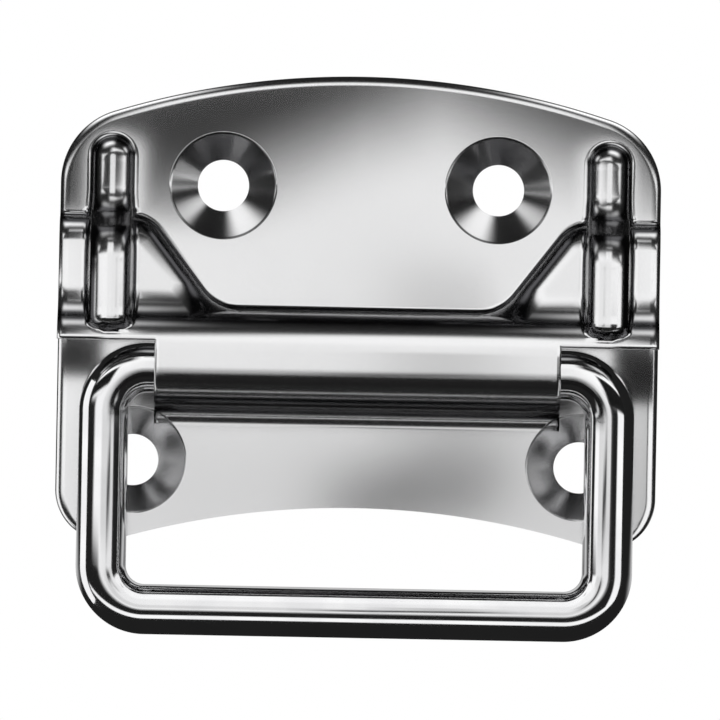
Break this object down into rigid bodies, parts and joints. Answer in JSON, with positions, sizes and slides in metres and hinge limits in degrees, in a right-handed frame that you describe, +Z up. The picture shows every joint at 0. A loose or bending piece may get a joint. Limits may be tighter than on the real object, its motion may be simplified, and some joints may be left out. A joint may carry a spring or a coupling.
{
  "type": "chest handle",
  "caption": "Surface-mounted chest handle: a pressed steel plate with countersunk screw holes and a round-bar bail that hangs flat and lifts forward to stand out square.",
  "frame": {"origin": "on the back face of the mounting plate, midway between the upper pair of screw holes", "axes": "+Z up, +X to the right as seen from the front, +Y out of the back face into the chest wall; the front faces -Y"},
  "size_m": [0.096, 0.0148, 0.0897],
  "materials": {
    "plate_plating": "bright plated pressed steel",
    "bail_plating": "bright plated round steel bar"
  },
  "bodies": {
    "plate": {"mounting_plate": "plate_plating"},
    "bail": {"bail": "bail_plating"}
  },
  "joints": [
    {"name": "bail_hinge", "type": "hinge", "parent": "plate", "child": "bail", "pos_m": [0, -0.0063, -0.0293], "axis": [-1, 0, 0], "range_deg": [0, 90]}
  ]
}
